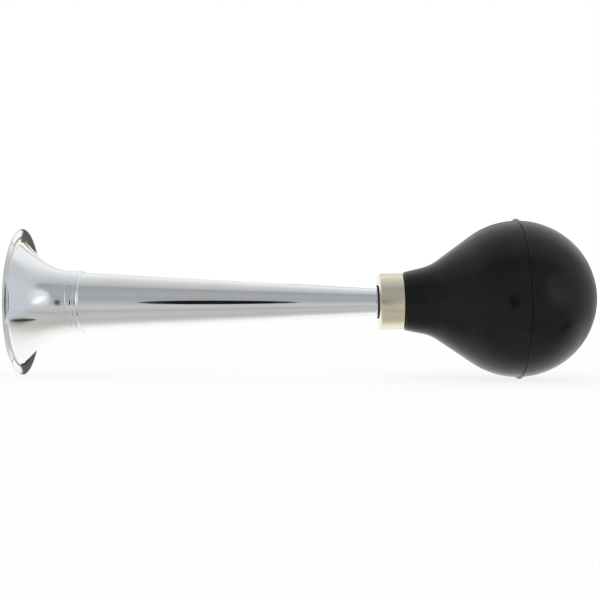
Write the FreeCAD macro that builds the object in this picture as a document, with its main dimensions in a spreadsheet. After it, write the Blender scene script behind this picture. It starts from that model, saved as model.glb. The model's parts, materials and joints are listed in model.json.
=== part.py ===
import FreeCAD, Part

import math
import os
import re

import Sketcher

# A straight bulb horn: a spun bell, a tapered tube, a turned tail stem that carries the reed, and
# a rubber bulb that screws on behind it. Millimetres throughout.
#
# The bell, sleeve and tube are drawn with their axis along Z and the mouth of the bell at zero.
# What is behind the tube is drawn along Z from the tube's small end. Two placements lay both
# groups down: the origin is on the floor under the middle, and +X runs towards the bulb.

doc = FreeCAD.newDocument("bulb_horn")

# Driving dimensions

SIZES = {
    "Bell": {
        "rim_radius": 42.4,
        "bead_radius": 0.6,
        "bead_centre": 0.55,
        "wire_radius": 0.26,
        "wire_gap": 0.04,
        "bell_wall": 0.7,
        "lip_turn": 5.0,
        "lip_round": 4.0,
        "lip_radius": 34.4,
        "lip_place": 1.72,
        "flare_power": 1.9,
        "throat_end": 28.7,
        "bell_spigot": 2.8,
    },
    "Tube and coupling sleeve": {
        "butt_gap": 0.1,
        "tube_length": 173.5,
        "tube_front_radius": 17.53,
        "tube_tail_radius": 7.6,
        "tube_wall": 0.6,
        "sleeve_gap": 0.05,
        "sleeve_wall": 0.6,
        "sleeve_length": 7.3,
        "groove_width": 0.35,
        "groove_depth": 0.3,
        "ring_width": 2.9,
        "ring_height": 0.45,
        "ring_chamfer": 0.4,
        "ring_tail": 1.7,
        "ring_fall": 0.9,
    },
    "Tail stem and washer": {
        "tail_lean": 1.25,
        "tail_gap": 0.2,
        "plug_length": 9.0,
        "plug_gap": 0.25,
        "flange_radius": 9.3,
        "flange_thickness": 0.4,
        "spigot_radius": 6.5,
        "spigot_length": 11.0,
        "stem_bore": 4.0,
        "seat_gap": 0.03,
        "washer_radius": 9.7,
        "washer_thickness": 0.5,
        "washer_gap": 0.2,
    },
    "Reed": {
        "reed_fit": 0.05,
        "reed_plug_length": 9.0,
        "gasket_radius": 5.5,
        "gasket_thickness": 0.4,
        "head_radius": 5.2,
        "head_length": 3.0,
        "shallot_margin": 0.31,
        "shallot_length": 26.6,
        "shallot_flat": 1.4,
        "channel_radius": 2.0,
        "channel_drop": 1.0,
        "channel_end_wall": 3.0,
        "slot_width": 3.0,
        "slot_length": 14.0,
        "slot_setback": 2.6,
        "tongue_width": 4.4,
        "tongue_thickness": 0.3,
        "tongue_root": 4.4,
        "tongue_blade": 19.0,
        "tongue_lift": 2.5,
        "tongue_clearance": 0.12,
        "clamp_clearance": 0.25,
        "clamp_setback": 0.6,
        "clamp_length": 5.0,
        "clamp_edge": 0.28,
        "clamp_thickness": 1.2,
        "screw_wall": 0.25,
        "screw_radius": 0.6,
        "screw_fit": 0.02,
        "screw_depth": 2.2,
        "screw_head_radius": 0.85,
        "screw_head_height": 0.6,
        "screw_slot_width": 0.3,
        "screw_slot_depth": 0.3,
    },
    "Ferrule and threaded insert": {
        "ferrule_radius": 16.1,
        "ferrule_length": 15.0,
        "ferrule_wall": 0.8,
        "ferrule_dish": 0.85,
        "ferrule_corner": 1.1,
        "ferrule_bevel": 0.7,
        "thread_gap": 0.05,
        "hub_gap": 0.03,
        "hub_radius": 8.0,
        "hub_flange_radius": 12.0,
        "hub_flange_thickness": 1.5,
        "hub_length": 17.0,
        "barb_height": 0.6,
        "barb_pitch": 3.5,
    },
    "Rubber bulb": {
        "rubber_gap": 0.1,
        "bulb_radius": 45.2,
        "bulb_middle": 81.6,
        "bulb_wall": 3.2,
        "neck_radius": 16.8,
        "neck_slope": 12.4,
        "neck_round": 0.5,
        "shoulder_slope": 35.0,
        "shoulder_round": 25.0,
        "ridge_height": 1.3,
        "ridge_thickness": 0.35,
        "parting_gap": 0.02,
    },
}

sheet = doc.addObject("Spreadsheet::Sheet", "Sizes")
row = 0
for group, cells in SIZES.items():
    row += 1
    sheet.set(f"A{row}", group)
    for alias, value in cells.items():
        row += 1
        sheet.set(f"A{row}", alias.replace("_", " "))
        sheet.set(f"B{row}", str(value))
        sheet.setAlias(f"B{row}", alias)
doc.recompute()

ALIASES = {alias for cells in SIZES.values() for alias in cells}


def size(alias):
    """A size read back from the sheet."""
    return float(sheet.get(alias))


def bound(formula):
    """A formula of plain size names as an expression that names cells of the sheet."""
    return re.sub(
        r"[a-z][a-z_]+", lambda m: f"Sizes.{m[0]}" if m[0] in ALIASES else m[0], formula
    )


# Places and radii that several pieces share, as formulas

TUBE_START = "throat_end + bell_spigot + butt_gap"
TUBE_SLOPE = "(tube_front_radius - tube_tail_radius) / tube_length"
SLEEVE_BORE = "tube_front_radius + sleeve_gap"
SLEEVE_OUTSIDE = f"{SLEEVE_BORE} + sleeve_wall"
SLEEVE_END = "throat_end + seat_gap + sleeve_length"

FLANGE_BACK = "tail_gap + flange_thickness"
SPIGOT_END = f"{FLANGE_BACK} + spigot_length"
WASHER_START = f"{FLANGE_BACK} + seat_gap"
WASHER_END = f"{WASHER_START} + washer_thickness"

FERRULE_START = f"{WASHER_END} + seat_gap"
FERRULE_END = f"{FERRULE_START} + ferrule_length"
FERRULE_BORE = "ferrule_radius - ferrule_wall"
HUB_FLANGE_START = f"{FERRULE_START} + ferrule_wall + ferrule_dish + seat_gap"
HUB_FLANGE_END = f"{HUB_FLANGE_START} + hub_flange_thickness"

HEAD_START = f"{SPIGOT_END} + gasket_thickness"
SHALLOT_START = f"{HEAD_START} + head_length"
CLAMP_START = f"{SHALLOT_START} + clamp_setback"
CLAMP_END = f"{CLAMP_START} + clamp_length"
TONGUE_UNDERSIDE = "shallot_flat + tongue_clearance"
CLAMP_CEILING = f"{TONGUE_UNDERSIDE} + tongue_thickness + clamp_clearance"
CLAMP_TOP = f"{CLAMP_CEILING} + clamp_thickness"
SCREW_ACROSS = "tongue_width / 2 + tongue_clearance + screw_wall + screw_fit + screw_radius"
CLAMP_REACH = f"{SCREW_ACROSS} + screw_radius + screw_fit + clamp_edge"
SHALLOT_RADIUS = f"{CLAMP_REACH} + shallot_margin"

# Ways of making a piece


def bind(thing, **formulas):
    """Bind properties of an object to formulas. Two underscores stand for a dot."""
    for name, formula in formulas.items():
        thing.setExpression(name.replace("__", "."), bound(formula))
    return thing


def outline(body, corners):
    """A closed sketch on the body's XZ plane, with each corner tied to the sheet."""
    sketch = body.newObject("Sketcher::SketchObject", f"{body.Name}_outline")
    plane = next(p for p in body.Origin.OriginFeatures if p.Role == "XZ_Plane")
    sketch.AttachmentSupport = (plane, [""])
    sketch.MapMode = "FlatFace"
    count = len(corners)
    rough = [
        FreeCAD.Vector(math.cos(2 * math.pi * n / count), math.sin(2 * math.pi * n / count))
        for n in range(count)
    ]
    for n in range(count):
        sketch.addGeometry(Part.LineSegment(rough[n], rough[(n + 1) % count]), False)
    for n in range(count):
        sketch.addConstraint(Sketcher.Constraint("Coincident", n, 2, (n + 1) % count, 1))
    for n, corner in enumerate(corners):
        for kind, formula in zip(("DistanceX", "DistanceY"), corner):
            number = sketch.addConstraint(Sketcher.Constraint(kind, -1, 1, n, 1, 1.0))
            sketch.setExpression(f"Constraints[{number}]", bound(formula))
    return sketch


def turned(label, corners):
    """A turned piece, from the (radius, place along the axis) corners of its half section."""
    body = doc.addObject("PartDesign::Body", label)
    sketch = outline(body, corners)
    spin = body.newObject("PartDesign::Revolution", f"{label}_turned")
    spin.Profile = sketch
    spin.ReferenceAxis = (sketch, ["V_Axis"])
    spin.Angle = 360.0
    doc.recompute()
    return body


def extruded(label, corners, width):
    """A flat-sided piece, from the corners of its side view, centred across the axis."""
    body = doc.addObject("PartDesign::Body", label)
    sketch = outline(body, corners)
    pad = body.newObject("PartDesign::Pad", f"{label}_pad")
    pad.Profile = sketch
    pad.Midplane = True
    bind(pad, Length=width)
    doc.recompute()
    return body


def rod(name, radius, start, length, across="0", up="0"):
    """A round bar along Z."""
    bar = doc.addObject("Part::Cylinder", name)
    bind(bar, Radius=radius, Height=length)
    return bind(bar, Placement__Base__x=up, Placement__Base__y=across, Placement__Base__z=start)


def upright_rod(name, radius, foot, height, across, along):
    """A round bar along X, square to the reed's flat."""
    bar = doc.addObject("Part::Cylinder", name)
    bar.Placement.Rotation = FreeCAD.Rotation(FreeCAD.Vector(0, 1, 0), 90)
    bind(bar, Radius=radius, Height=height)
    return bind(bar, Placement__Base__x=foot, Placement__Base__y=across, Placement__Base__z=along)


def block(name, up, width, along, height, length):
    """A square bar that starts at a height above the axis and is centred across it."""
    bar = doc.addObject("Part::Box", name)
    bind(bar, Length=height, Width=width, Height=length)
    return bind(
        bar, Placement__Base__x=up, Placement__Base__y=f"-({width}) / 2", Placement__Base__z=along
    )


def joined(label, pieces):
    whole = doc.addObject("Part::MultiFuse", label)
    whole.Shapes = pieces
    return whole


def cut(label, base, tools):
    """The base without the tools. The last cut takes the label."""
    for n, tool in enumerate(tools, 1):
        result = doc.addObject("Part::Cut", label if n == len(tools) else f"{label}_cut_{n}")
        result.Base = base
        result.Tool = tool
        base = result
    return base


def spun_face(edges):
    """The solid that a closed half section makes when it is spun about Z."""
    face = Part.Face(Part.Wire(edges))
    return face.revolve(FreeCAD.Vector(0, 0, 0), FreeCAD.Vector(0, 0, 1), 360)


def at(radius, place):
    """A point of a half section."""
    return FreeCAD.Vector(radius, 0, place)


def line(*points):
    """The straight edges that join the points in turn."""
    return [Part.LineSegment(a, b).toShape() for a, b in zip(points, points[1:])]


def feature(label, shape):
    """A piece whose curves are worked out here from the sheet."""
    thing = doc.addObject("Part::Feature", label)
    thing.Shape = shape
    return thing


# Bell: spun sheet. A flare grows from the throat, and a small round turns it out to a lip that is
# nearly flat. The lip's edge is closed forwards round a thin wire

bead_ring = size("rim_radius") - size("bead_radius")
throat = size("tube_front_radius") + size("sleeve_gap") + size("sleeve_wall")
throat_end = size("throat_end")
bell_wall = size("bell_wall")
lip_radius = size("lip_radius")
lip_place = size("lip_place")
lip_round = size("lip_round")
lip_turn = math.radians(size("lip_turn"))
lip_angle = math.pi / 2 + lip_turn
flare_power = size("flare_power")
flare_length = throat_end - lip_place
flare_slope = flare_power * (lip_radius - throat) / flare_length
flare_angle = math.atan(flare_slope)
lip_middle = at(
    lip_radius + lip_round * math.cos(flare_angle), lip_place + lip_round * math.sin(flare_angle)
)
FLARE_STATIONS = 8


def flare_point(share, inset):
    """A point of the flare between lip and throat, inset from the sheet's back."""
    left = 1 - share
    radius = throat + (lip_radius - throat) * left**flare_power
    slope = -flare_slope * left ** (flare_power - 1)
    reach = math.hypot(slope, 1)
    return at(radius - inset / reach, lip_place + flare_length * share + inset * slope / reach)


def lip_point(angle, inset):
    """A point of the lip's round, where the sheet stands at this angle to the axis."""
    reach = lip_round + inset
    return lip_middle - at(reach * math.cos(angle), reach * math.sin(angle))


def lip_edge(inset):
    """Where one side of the lip ends, inside the bead."""
    turned_out = lip_point(lip_angle, inset)
    return at(bead_ring, turned_out.z + (bead_ring - turned_out.x) * math.tan(lip_turn))


def sheet_side(inset, throat_share):
    """The edges of one side of the sheet: the lip, its round and the flare."""
    turned_out = lip_point(lip_angle, inset)
    foot = lip_point(flare_angle, inset)
    middle = lip_point((flare_angle + lip_angle) / 2, inset)
    stations = [
        flare_point(throat_share * n / FLARE_STATIONS, inset) for n in range(FLARE_STATIONS + 1)
    ]
    flare = Part.BSplineCurve()
    flare.interpolate(stations)
    round_edge = Part.Arc(turned_out, middle, foot).toShape()
    return line(lip_edge(inset), turned_out) + [round_edge, flare.toShape()]


spigot_outside = size("tube_front_radius")
spigot_inside = spigot_outside - bell_wall
spigot_end = throat_end + size("bell_spigot")
inner_share = 1 - bell_wall / flare_length
inner_throat = flare_point(inner_share, bell_wall)
flare_solid = spun_face(
    sheet_side(0, 1)
    + line(
        flare_point(1, 0),
        at(spigot_outside, throat_end),
        at(spigot_outside, spigot_end),
        at(spigot_inside, spigot_end),
        at(spigot_inside, inner_throat.z),
        inner_throat,
    )
    + sheet_side(bell_wall, inner_share)[::-1]
    + line(lip_edge(bell_wall), lip_edge(0))
)
bead_middle = at(0, size("bead_centre"))
bead = Part.makeTorus(bead_ring, size("bead_radius"), bead_middle)
wire_hole = Part.makeTorus(bead_ring, size("wire_radius") + size("wire_gap"), bead_middle)
mouth_cutter = Part.makeCylinder(
    2 * size("rim_radius"), size("bead_radius"), at(0, -size("bead_radius"))
)
bell = feature("bell", flare_solid.fuse(bead).cut(wire_hole).cut(mouth_cutter))

rim_wire = bind(
    doc.addObject("Part::Torus", "rim_wire"),
    Radius1="rim_radius - bead_radius",
    Radius2="wire_radius",
)

# Coupling sleeve: a thin band with a rolled ring, soldered over the bell's spigot and the tube

RING_START = f"{SLEEVE_END} - ring_width"
RING_OUTSIDE = f"{SLEEVE_OUTSIDE} + ring_height"
SLEEVE_TAIL_BORE = f"{SLEEVE_BORE} - {TUBE_SLOPE} * ({SLEEVE_END} - ({TUBE_START}))"
coupling_sleeve = turned(
    "coupling_sleeve",
    [
        (SLEEVE_BORE, "throat_end + seat_gap"),
        (f"{SLEEVE_OUTSIDE} - groove_depth", "throat_end + seat_gap"),
        (SLEEVE_OUTSIDE, "throat_end + seat_gap + groove_width"),
        (SLEEVE_OUTSIDE, RING_START),
        (RING_OUTSIDE, f"{RING_START} + ring_chamfer"),
        (RING_OUTSIDE, f"{SLEEVE_END} - ring_tail"),
        (f"{RING_OUTSIDE} - ring_fall", SLEEVE_END),
        (SLEEVE_TAIL_BORE, SLEEVE_END),
        (SLEEVE_BORE, TUBE_START),
    ],
)

# Tube: rolled and soldered from thin sheet, a straight taper

TUBE_END = f"{TUBE_START} + tube_length"
tube = turned(
    "tube",
    [
        ("tube_front_radius - tube_wall", TUBE_START),
        ("tube_front_radius", TUBE_START),
        ("tube_tail_radius", TUBE_END),
        ("tube_tail_radius - tube_wall", TUBE_END),
    ],
)

# Tail stem: a plug soldered in the tube, a thin flange, and the spigot that the bulb screws onto

PLUG_REAR = "tube_tail_radius - tube_wall - plug_gap"
PLUG_FRONT = f"{PLUG_REAR} + {TUBE_SLOPE} * plug_length"
tail_stem = turned(
    "tail_stem",
    [
        ("stem_bore", "-plug_length"),
        (PLUG_FRONT, "-plug_length"),
        (PLUG_REAR, "0"),
        (PLUG_REAR, "tail_gap"),
        ("flange_radius", "tail_gap"),
        ("flange_radius", FLANGE_BACK),
        ("spigot_radius", FLANGE_BACK),
        ("spigot_radius", SPIGOT_END),
        ("stem_bore", SPIGOT_END),
    ],
)

# Seal washer: a thin flat ring, pinched between the flange and the ferrule

seal_washer = turned(
    "seal_washer",
    [
        ("spigot_radius + washer_gap", WASHER_START),
        ("washer_radius", WASHER_START),
        ("washer_radius", WASHER_END),
        ("spigot_radius + washer_gap", WASHER_END),
    ],
)

# Reed block: a plug in the stem's bore, a head that stops it, and a half-round shallot behind,
# with a channel for the air and a slot in its flat that the tongue closes

reed_gasket = turned(
    "reed_gasket",
    [
        ("stem_bore", SPIGOT_END),
        ("gasket_radius", SPIGOT_END),
        ("gasket_radius", HEAD_START),
        ("stem_bore", HEAD_START),
    ],
)

REED_PLUG = "stem_bore - reed_fit"
REED_FRONT = f"{SPIGOT_END} - reed_plug_length"
shallot_top = block(
    "shallot_top",
    "shallot_flat",
    f"2 * ({SHALLOT_RADIUS})",
    SHALLOT_START,
    SHALLOT_RADIUS,
    "shallot_length",
)
shallot_rod = rod("shallot_rod", SHALLOT_RADIUS, SHALLOT_START, "shallot_length")
shallot = cut("shallot", shallot_rod, [shallot_top])
reed_blank = joined(
    "reed_blank",
    [
        rod("reed_plug", REED_PLUG, REED_FRONT, "reed_plug_length + gasket_thickness"),
        rod("reed_head", "head_radius", HEAD_START, "head_length"),
        shallot,
    ],
)
channel = rod(
    "reed_channel",
    "channel_radius",
    REED_FRONT,
    f"{SHALLOT_START} + shallot_length - channel_end_wall - ({REED_FRONT})",
    up="-channel_drop",
)
slot = block(
    "reed_slot",
    "-channel_drop",
    "slot_width",
    f"{CLAMP_END} + slot_setback",
    "channel_drop + 2 * shallot_flat",
    "slot_length",
)
SCREW_PLACE = f"{CLAMP_START} + clamp_length / 2"
screw_sides = {"left": f"-({SCREW_ACROSS})", "right": SCREW_ACROSS}
block_holes = [
    upright_rod(
        f"block_hole_{side}",
        "screw_radius + screw_fit",
        "shallot_flat - screw_depth",
        "screw_depth + shallot_flat",
        across,
        SCREW_PLACE,
    )
    for side, across in screw_sides.items()
]
reed_block = cut("reed_block", reed_blank, [channel, slot] + block_holes)

# Reed tongue: a springy strip, clamped at its root and bent up a little over the slot

BLADE_RISE = "tongue_blade * tan(tongue_lift)"
reed_tongue = extruded(
    "reed_tongue",
    [
        (TONGUE_UNDERSIDE, f"{CLAMP_END} - tongue_root"),
        (TONGUE_UNDERSIDE, CLAMP_END),
        (f"{TONGUE_UNDERSIDE} + {BLADE_RISE}", f"{CLAMP_END} + tongue_blade"),
        (f"{TONGUE_UNDERSIDE} + {BLADE_RISE} + tongue_thickness", f"{CLAMP_END} + tongue_blade"),
        (f"{TONGUE_UNDERSIDE} + tongue_thickness", CLAMP_END),
        (f"{TONGUE_UNDERSIDE} + tongue_thickness", f"{CLAMP_END} - tongue_root"),
    ],
    "tongue_width",
)

# Reed clamp: a small bridge over the tongue's root, held by two screws beside it

clamp_blank = block(
    "clamp_blank",
    "shallot_flat",
    f"2 * ({CLAMP_REACH})",
    CLAMP_START,
    f"{CLAMP_TOP} - shallot_flat",
    "clamp_length",
)
clamp_arch = block(
    "clamp_arch",
    "0",
    "tongue_width + 2 * tongue_clearance",
    f"{CLAMP_START} - clamp_setback",
    CLAMP_CEILING,
    "clamp_length + 2 * clamp_setback",
)
clamp_holes = [
    upright_rod(
        f"clamp_hole_{side}",
        "screw_radius + screw_fit",
        "0",
        f"2 * ({CLAMP_TOP})",
        across,
        SCREW_PLACE,
    )
    for side, across in screw_sides.items()
]
reed_clamp = cut("reed_clamp", clamp_blank, [clamp_arch] + clamp_holes)


def reed_screw(side, across):
    """A slotted cheese-head screw through the clamp into the shallot."""
    label = f"reed_screw_{side}"
    shank = upright_rod(
        f"{label}_shank",
        "screw_radius",
        "shallot_flat - screw_depth",
        f"{CLAMP_TOP} + screw_depth - shallot_flat",
        across,
        SCREW_PLACE,
    )
    head = upright_rod(
        f"{label}_head", "screw_head_radius", CLAMP_TOP, "screw_head_height", across, SCREW_PLACE
    )
    driver_slot = doc.addObject("Part::Box", f"{label}_slot")
    bind(
        driver_slot,
        Length="2 * screw_slot_depth",
        Width="4 * screw_head_radius",
        Height="screw_slot_width",
        Placement__Base__x=f"{CLAMP_TOP} + screw_head_height - screw_slot_depth",
        Placement__Base__y=f"{across} - 2 * screw_head_radius",
        Placement__Base__z=f"{SCREW_PLACE} - screw_slot_width / 2",
    )
    return cut(label, joined(f"{label}_blank", [shank, head]), [driver_slot])


reed_screws = [reed_screw(side, across) for side, across in screw_sides.items()]

# Ferrule: a spun cup over the front of the bulb's neck

bulb_ferrule = turned(
    "bulb_ferrule",
    [
        ("hub_radius + hub_gap", FERRULE_START),
        ("ferrule_radius", f"{FERRULE_START} + ferrule_dish"),
        ("ferrule_radius", f"{FERRULE_END} - ferrule_bevel"),
        ("ferrule_radius - ferrule_bevel", FERRULE_END),
        (FERRULE_BORE, FERRULE_END),
        (FERRULE_BORE, f"{FERRULE_START} + ferrule_wall + ferrule_dish"),
        ("hub_radius + hub_gap", f"{FERRULE_START} + ferrule_wall"),
    ],
)
front_edges = [
    f"Edge{n}"
    for n, edge in enumerate(bulb_ferrule.Shape.Edges, 1)
    if isinstance(edge.Curve, Part.Circle)
    and math.isclose(edge.Curve.Radius, size("ferrule_radius"), abs_tol=1e-4)
    and edge.Curve.Center.z < size("ferrule_length") / 2
]
turned_ferrule = bulb_ferrule.Tip
corner = bulb_ferrule.newObject("PartDesign::Fillet", "ferrule_corner_round")
corner.Base = (turned_ferrule, front_edges)
bind(corner, Radius="ferrule_corner")

# Neck insert: a turned, barbed hub with the thread for the stem, fixed in the ferrule's front

THREAD_BORE = "spigot_radius + thread_gap"
HUB_END = f"{FERRULE_START} + hub_length"
BARBS = 3
barb_corners = []
for n in range(BARBS):
    barb_start = f"{HUB_FLANGE_END} + {n + 0.5} * barb_pitch"
    barb_corners += [
        ("hub_radius", barb_start),
        ("hub_radius + barb_height", barb_start),
        ("hub_radius", f"{barb_start} + barb_pitch / 2"),
    ]
neck_insert = turned(
    "neck_insert",
    [
        (THREAD_BORE, FERRULE_START),
        ("hub_radius", FERRULE_START),
        ("hub_radius", HUB_FLANGE_START),
        ("hub_flange_radius", HUB_FLANGE_START),
        ("hub_flange_radius", HUB_FLANGE_END),
        ("hub_radius", HUB_FLANGE_END),
        *barb_corners,
        ("hub_radius", HUB_END),
        (THREAD_BORE, HUB_END),
    ],
)

# Rubber bulb: a hollow moulding with a thick neck and a ridge where the mould parts, in two
# halves, because the back half is what a hand pushes in

bulb_radius = size("bulb_radius")
cavity_radius = bulb_radius - size("bulb_wall")
bulb_middle = size("bulb_middle")
ridge_radius = bulb_radius + size("ridge_height")
shoulder = math.radians(size("shoulder_slope"))
neck_angle = math.radians(size("neck_slope"))
flange_back = size("tail_gap") + size("flange_thickness")
ferrule_start = flange_back + 2 * size("seat_gap") + size("washer_thickness")
ferrule_end = ferrule_start + size("ferrule_length")
rubber_front = (
    ferrule_start
    + size("ferrule_wall")
    + size("ferrule_dish")
    + size("seat_gap")
    + size("hub_flange_thickness")
    + size("rubber_gap")
)
neck_start = ferrule_end + size("rubber_gap")
neck_outside = size("ferrule_radius") - size("ferrule_wall") - size("rubber_gap")
neck_bore = size("hub_radius") + size("barb_height") + size("rubber_gap")


def on_sphere(radius, angle):
    """A point of a ball about the bulb's middle, at an angle behind the parting plane."""
    return at(radius * math.cos(angle), bulb_middle + radius * math.sin(angle))


def at_ridge(radius, offset):
    """The point of a ball at a small distance from the parting plane."""
    return on_sphere(radius, math.asin(offset / radius))


def ball_arc(radius, first, last):
    middle = on_sphere(radius, (first + last) / 2)
    return Part.Arc(on_sphere(radius, first), middle, on_sphere(radius, last)).toShape()


def front_half():
    """The neck, the shoulder and the front of the ball."""
    tangent = on_sphere(bulb_radius, -shoulder)
    neck_top = at(
        size("neck_radius") + size("neck_round") * math.tan(neck_angle),
        neck_start + size("neck_round"),
    )
    # where the neck's line meets the shoulder's line, and the arc that joins them
    fall, rise = math.tan(shoulder), math.tan(neck_angle)
    meeting = (tangent.x - neck_top.x + rise * neck_top.z - fall * tangent.z) / (rise - fall)
    corner_point = at(tangent.x + fall * (meeting - tangent.z), meeting)
    setback = size("shoulder_round") * math.tan((shoulder - neck_angle) / 2)
    bisector = (shoulder + neck_angle) / 2
    sag = size("shoulder_round") * (1 / math.cos((shoulder - neck_angle) / 2) - 1)
    arc_start = corner_point - FreeCAD.Vector(math.sin(neck_angle), 0, math.cos(neck_angle)) * setback
    arc_end = corner_point + FreeCAD.Vector(math.sin(shoulder), 0, math.cos(shoulder)) * setback
    arc_middle = corner_point + FreeCAD.Vector(math.cos(bisector), 0, -math.sin(bisector)) * sag
    # the same shoulder inside, down to the bore
    inner_tangent = on_sphere(cavity_radius, -shoulder)
    cone_start = at(neck_bore, inner_tangent.z - (inner_tangent.x - neck_bore) / fall)
    back_face = bulb_middle - size("parting_gap") / 2
    ridge_front = -size("parting_gap") / 2 - size("ridge_thickness")
    ridge_foot = at_ridge(bulb_radius, ridge_front)
    lip = size("neck_radius") - size("neck_round")
    round_middle = at(
        lip + size("neck_round") * math.sin(math.pi / 4),
        neck_start + size("neck_round") * (1 - math.cos(math.pi / 4)),
    )
    inner_back = at_ridge(cavity_radius, back_face - bulb_middle)
    return spun_face(
        line(
            at(neck_bore, rubber_front),
            at(neck_outside, rubber_front),
            at(neck_outside, neck_start),
            at(lip, neck_start),
        )
        + [Part.Arc(at(lip, neck_start), round_middle, neck_top).toShape()]
        + line(neck_top, arc_start)
        + [Part.Arc(arc_start, arc_middle, arc_end).toShape()]
        + line(arc_end, tangent)
        + [ball_arc(bulb_radius, -shoulder, math.asin(ridge_front / bulb_radius))]
        + line(
            ridge_foot,
            at(ridge_radius, ridge_foot.z),
            at(ridge_radius, back_face),
            inner_back,
        )
        + [
            ball_arc(
                cavity_radius,
                math.asin((back_face - bulb_middle) / cavity_radius),
                -shoulder,
            )
        ]
        + line(inner_tangent, cone_start, at(neck_bore, rubber_front))
    )


def back_half():
    """The dome that is pushed in, from the parting plane to the pole."""
    front_face = bulb_middle + size("parting_gap") / 2
    ridge_back = size("parting_gap") / 2 + size("ridge_thickness")
    ridge_foot = at_ridge(bulb_radius, ridge_back)
    inner_front = at_ridge(cavity_radius, front_face - bulb_middle)
    pole = math.pi / 2
    return spun_face(
        line(
            inner_front,
            at(ridge_radius, front_face),
            at(ridge_radius, ridge_foot.z),
            ridge_foot,
        )
        + [ball_arc(bulb_radius, math.asin(ridge_back / bulb_radius), pole)]
        + line(on_sphere(bulb_radius, pole), on_sphere(cavity_radius, pole))
        + [ball_arc(cavity_radius, pole, math.asin((front_face - bulb_middle) / cavity_radius))]
    )


bulb_front = feature("bulb_front", front_half())
bulb_rear = feature("bulb_rear", back_half())

# Placements: the horn rests on the rim of its bell and on the bulb's ridge. The tail leans up a
# little from the tube, as its soldered joint does

tail_lean = math.radians(size("tail_lean"))
tube_end = size("throat_end") + size("bell_spigot") + size("butt_gap") + size("tube_length")
ridge_drop = ridge_radius * math.cos(tail_lean) - bulb_middle * math.sin(tail_lean)
ridge_place = tube_end + bulb_middle * math.cos(tail_lean) + ridge_radius * math.sin(tail_lean)
rest_tilt = math.asin((ridge_drop - size("rim_radius")) / (ridge_place - size("bead_centre")))
mouth_height = (
    bead_ring * math.cos(rest_tilt)
    + size("bead_radius")
    - size("bead_centre") * math.sin(rest_tilt)
)
front_reach = -bead_ring * math.sin(rest_tilt) - size("bead_radius") + size("bead_centre")
rear_reach = (
    tube_end * math.cos(rest_tilt) + bulb_middle * math.cos(rest_tilt + tail_lean) + bulb_radius
)
horn_placement = FreeCAD.Placement(
    FreeCAD.Vector(-(front_reach + rear_reach) / 2, 0, mouth_height),
    FreeCAD.Rotation(FreeCAD.Vector(0, 1, 0), 90 - math.degrees(rest_tilt)),
)
tail_placement = horn_placement.multiply(
    FreeCAD.Placement(
        FreeCAD.Vector(0, 0, tube_end),
        FreeCAD.Rotation(FreeCAD.Vector(0, 1, 0), -size("tail_lean")),
    )
)
wire_placement = horn_placement.multiply(
    FreeCAD.Placement(FreeCAD.Vector(0, 0, size("bead_centre")), FreeCAD.Rotation())
)

placed = {bell: horn_placement, rim_wire: wire_placement}
placed.update({piece: horn_placement for piece in (coupling_sleeve, tube)})
tail_pieces = [tail_stem, seal_washer, reed_gasket, reed_block, reed_tongue, reed_clamp]
tail_pieces += reed_screws
tail_pieces += [bulb_ferrule, neck_insert, bulb_front, bulb_rear]
placed.update({piece: tail_placement for piece in tail_pieces})
for piece, placement in placed.items():
    piece.Placement = placement
doc.recompute()

# Check every object, then write one file for each piece

for thing in doc.Objects:
    faults = {"Invalid", "Error"}.intersection(thing.State)
    if faults:
        raise RuntimeError(f"{thing.Label} is {', '.join(sorted(faults))}")
for piece in placed:
    if piece.Shape.isNull() or not piece.Shape.isValid() or not piece.Shape.Solids:
        raise RuntimeError(f"{piece.Label} has no valid solid")

os.makedirs("parts", exist_ok=True)
for piece in placed:
    piece.Shape.exportStep(f"parts/{piece.Label}.step")
    box = piece.Shape.BoundBox
    print(
        f"{piece.Label}: {len(piece.Shape.Solids)} solid, {piece.Shape.Volume:.1f} mm3, "
        f"x {box.XMin:.2f} to {box.XMax:.2f}, z {box.ZMin:.2f} to {box.ZMax:.2f}"
    )
print(f"rest tilt {math.degrees(rest_tilt):.3f} degrees")
print(f"tail at {tail_placement.Base}, axis {tail_placement.Rotation.multVec(at(0, 1))}")
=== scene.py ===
import json
import math

import bpy
from mathutils import Matrix, Vector

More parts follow.
